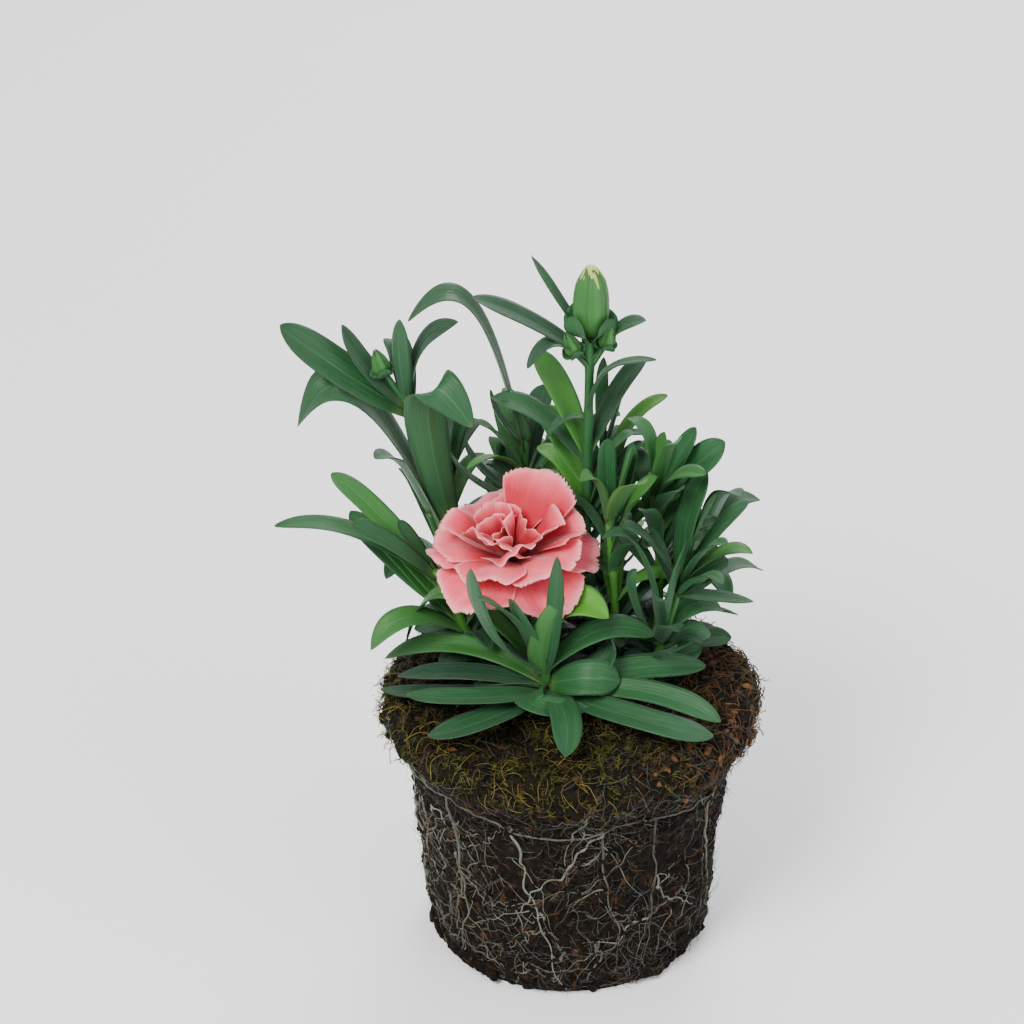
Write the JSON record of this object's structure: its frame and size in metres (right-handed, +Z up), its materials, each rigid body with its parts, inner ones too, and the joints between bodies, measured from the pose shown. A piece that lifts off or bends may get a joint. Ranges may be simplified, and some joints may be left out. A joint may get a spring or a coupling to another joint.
{
  "type": "dianthus plant",
  "caption": "Flowering dianthus plant with an open double bloom, a closed bud and leafy shoots, standing on its bare root ball.",
  "frame": {"origin": "centre of the flat underside of the root ball, on the surface that it stands on", "axes": "+Z up along the plant, +Y away from the plant's front, +X to the right as seen from the front"},
  "size_m": [0.1551, 0.1389, 0.2235],
  "materials": {
    "peat": "damp crumbly peat with fibres and moss",
    "roots": "pale matt root fibre",
    "leaves": "waxy blue-green leaf with a soft sheen",
    "petals": "matt salmon-pink petal with paler toothed rims"
  },
  "bodies": {
    "root": {"root_ball": "peat", "root_net": "roots", "bloom_petals": "petals", "bloom_stem": "leaves", "shoot_front": "leaves", "shoot_left": "leaves", "shoot_tall_left": "leaves", "shoot_slender": "leaves", "shoot_bud": "leaves", "shoot_right": "leaves", "shoot_right_back": "leaves", "shoot_right_low": "leaves", "shoot_middle": "leaves", "shoot_back_left": "leaves", "shoot_back": "leaves", "shoot_back_right": "leaves"}
  },
  "joints": []
}
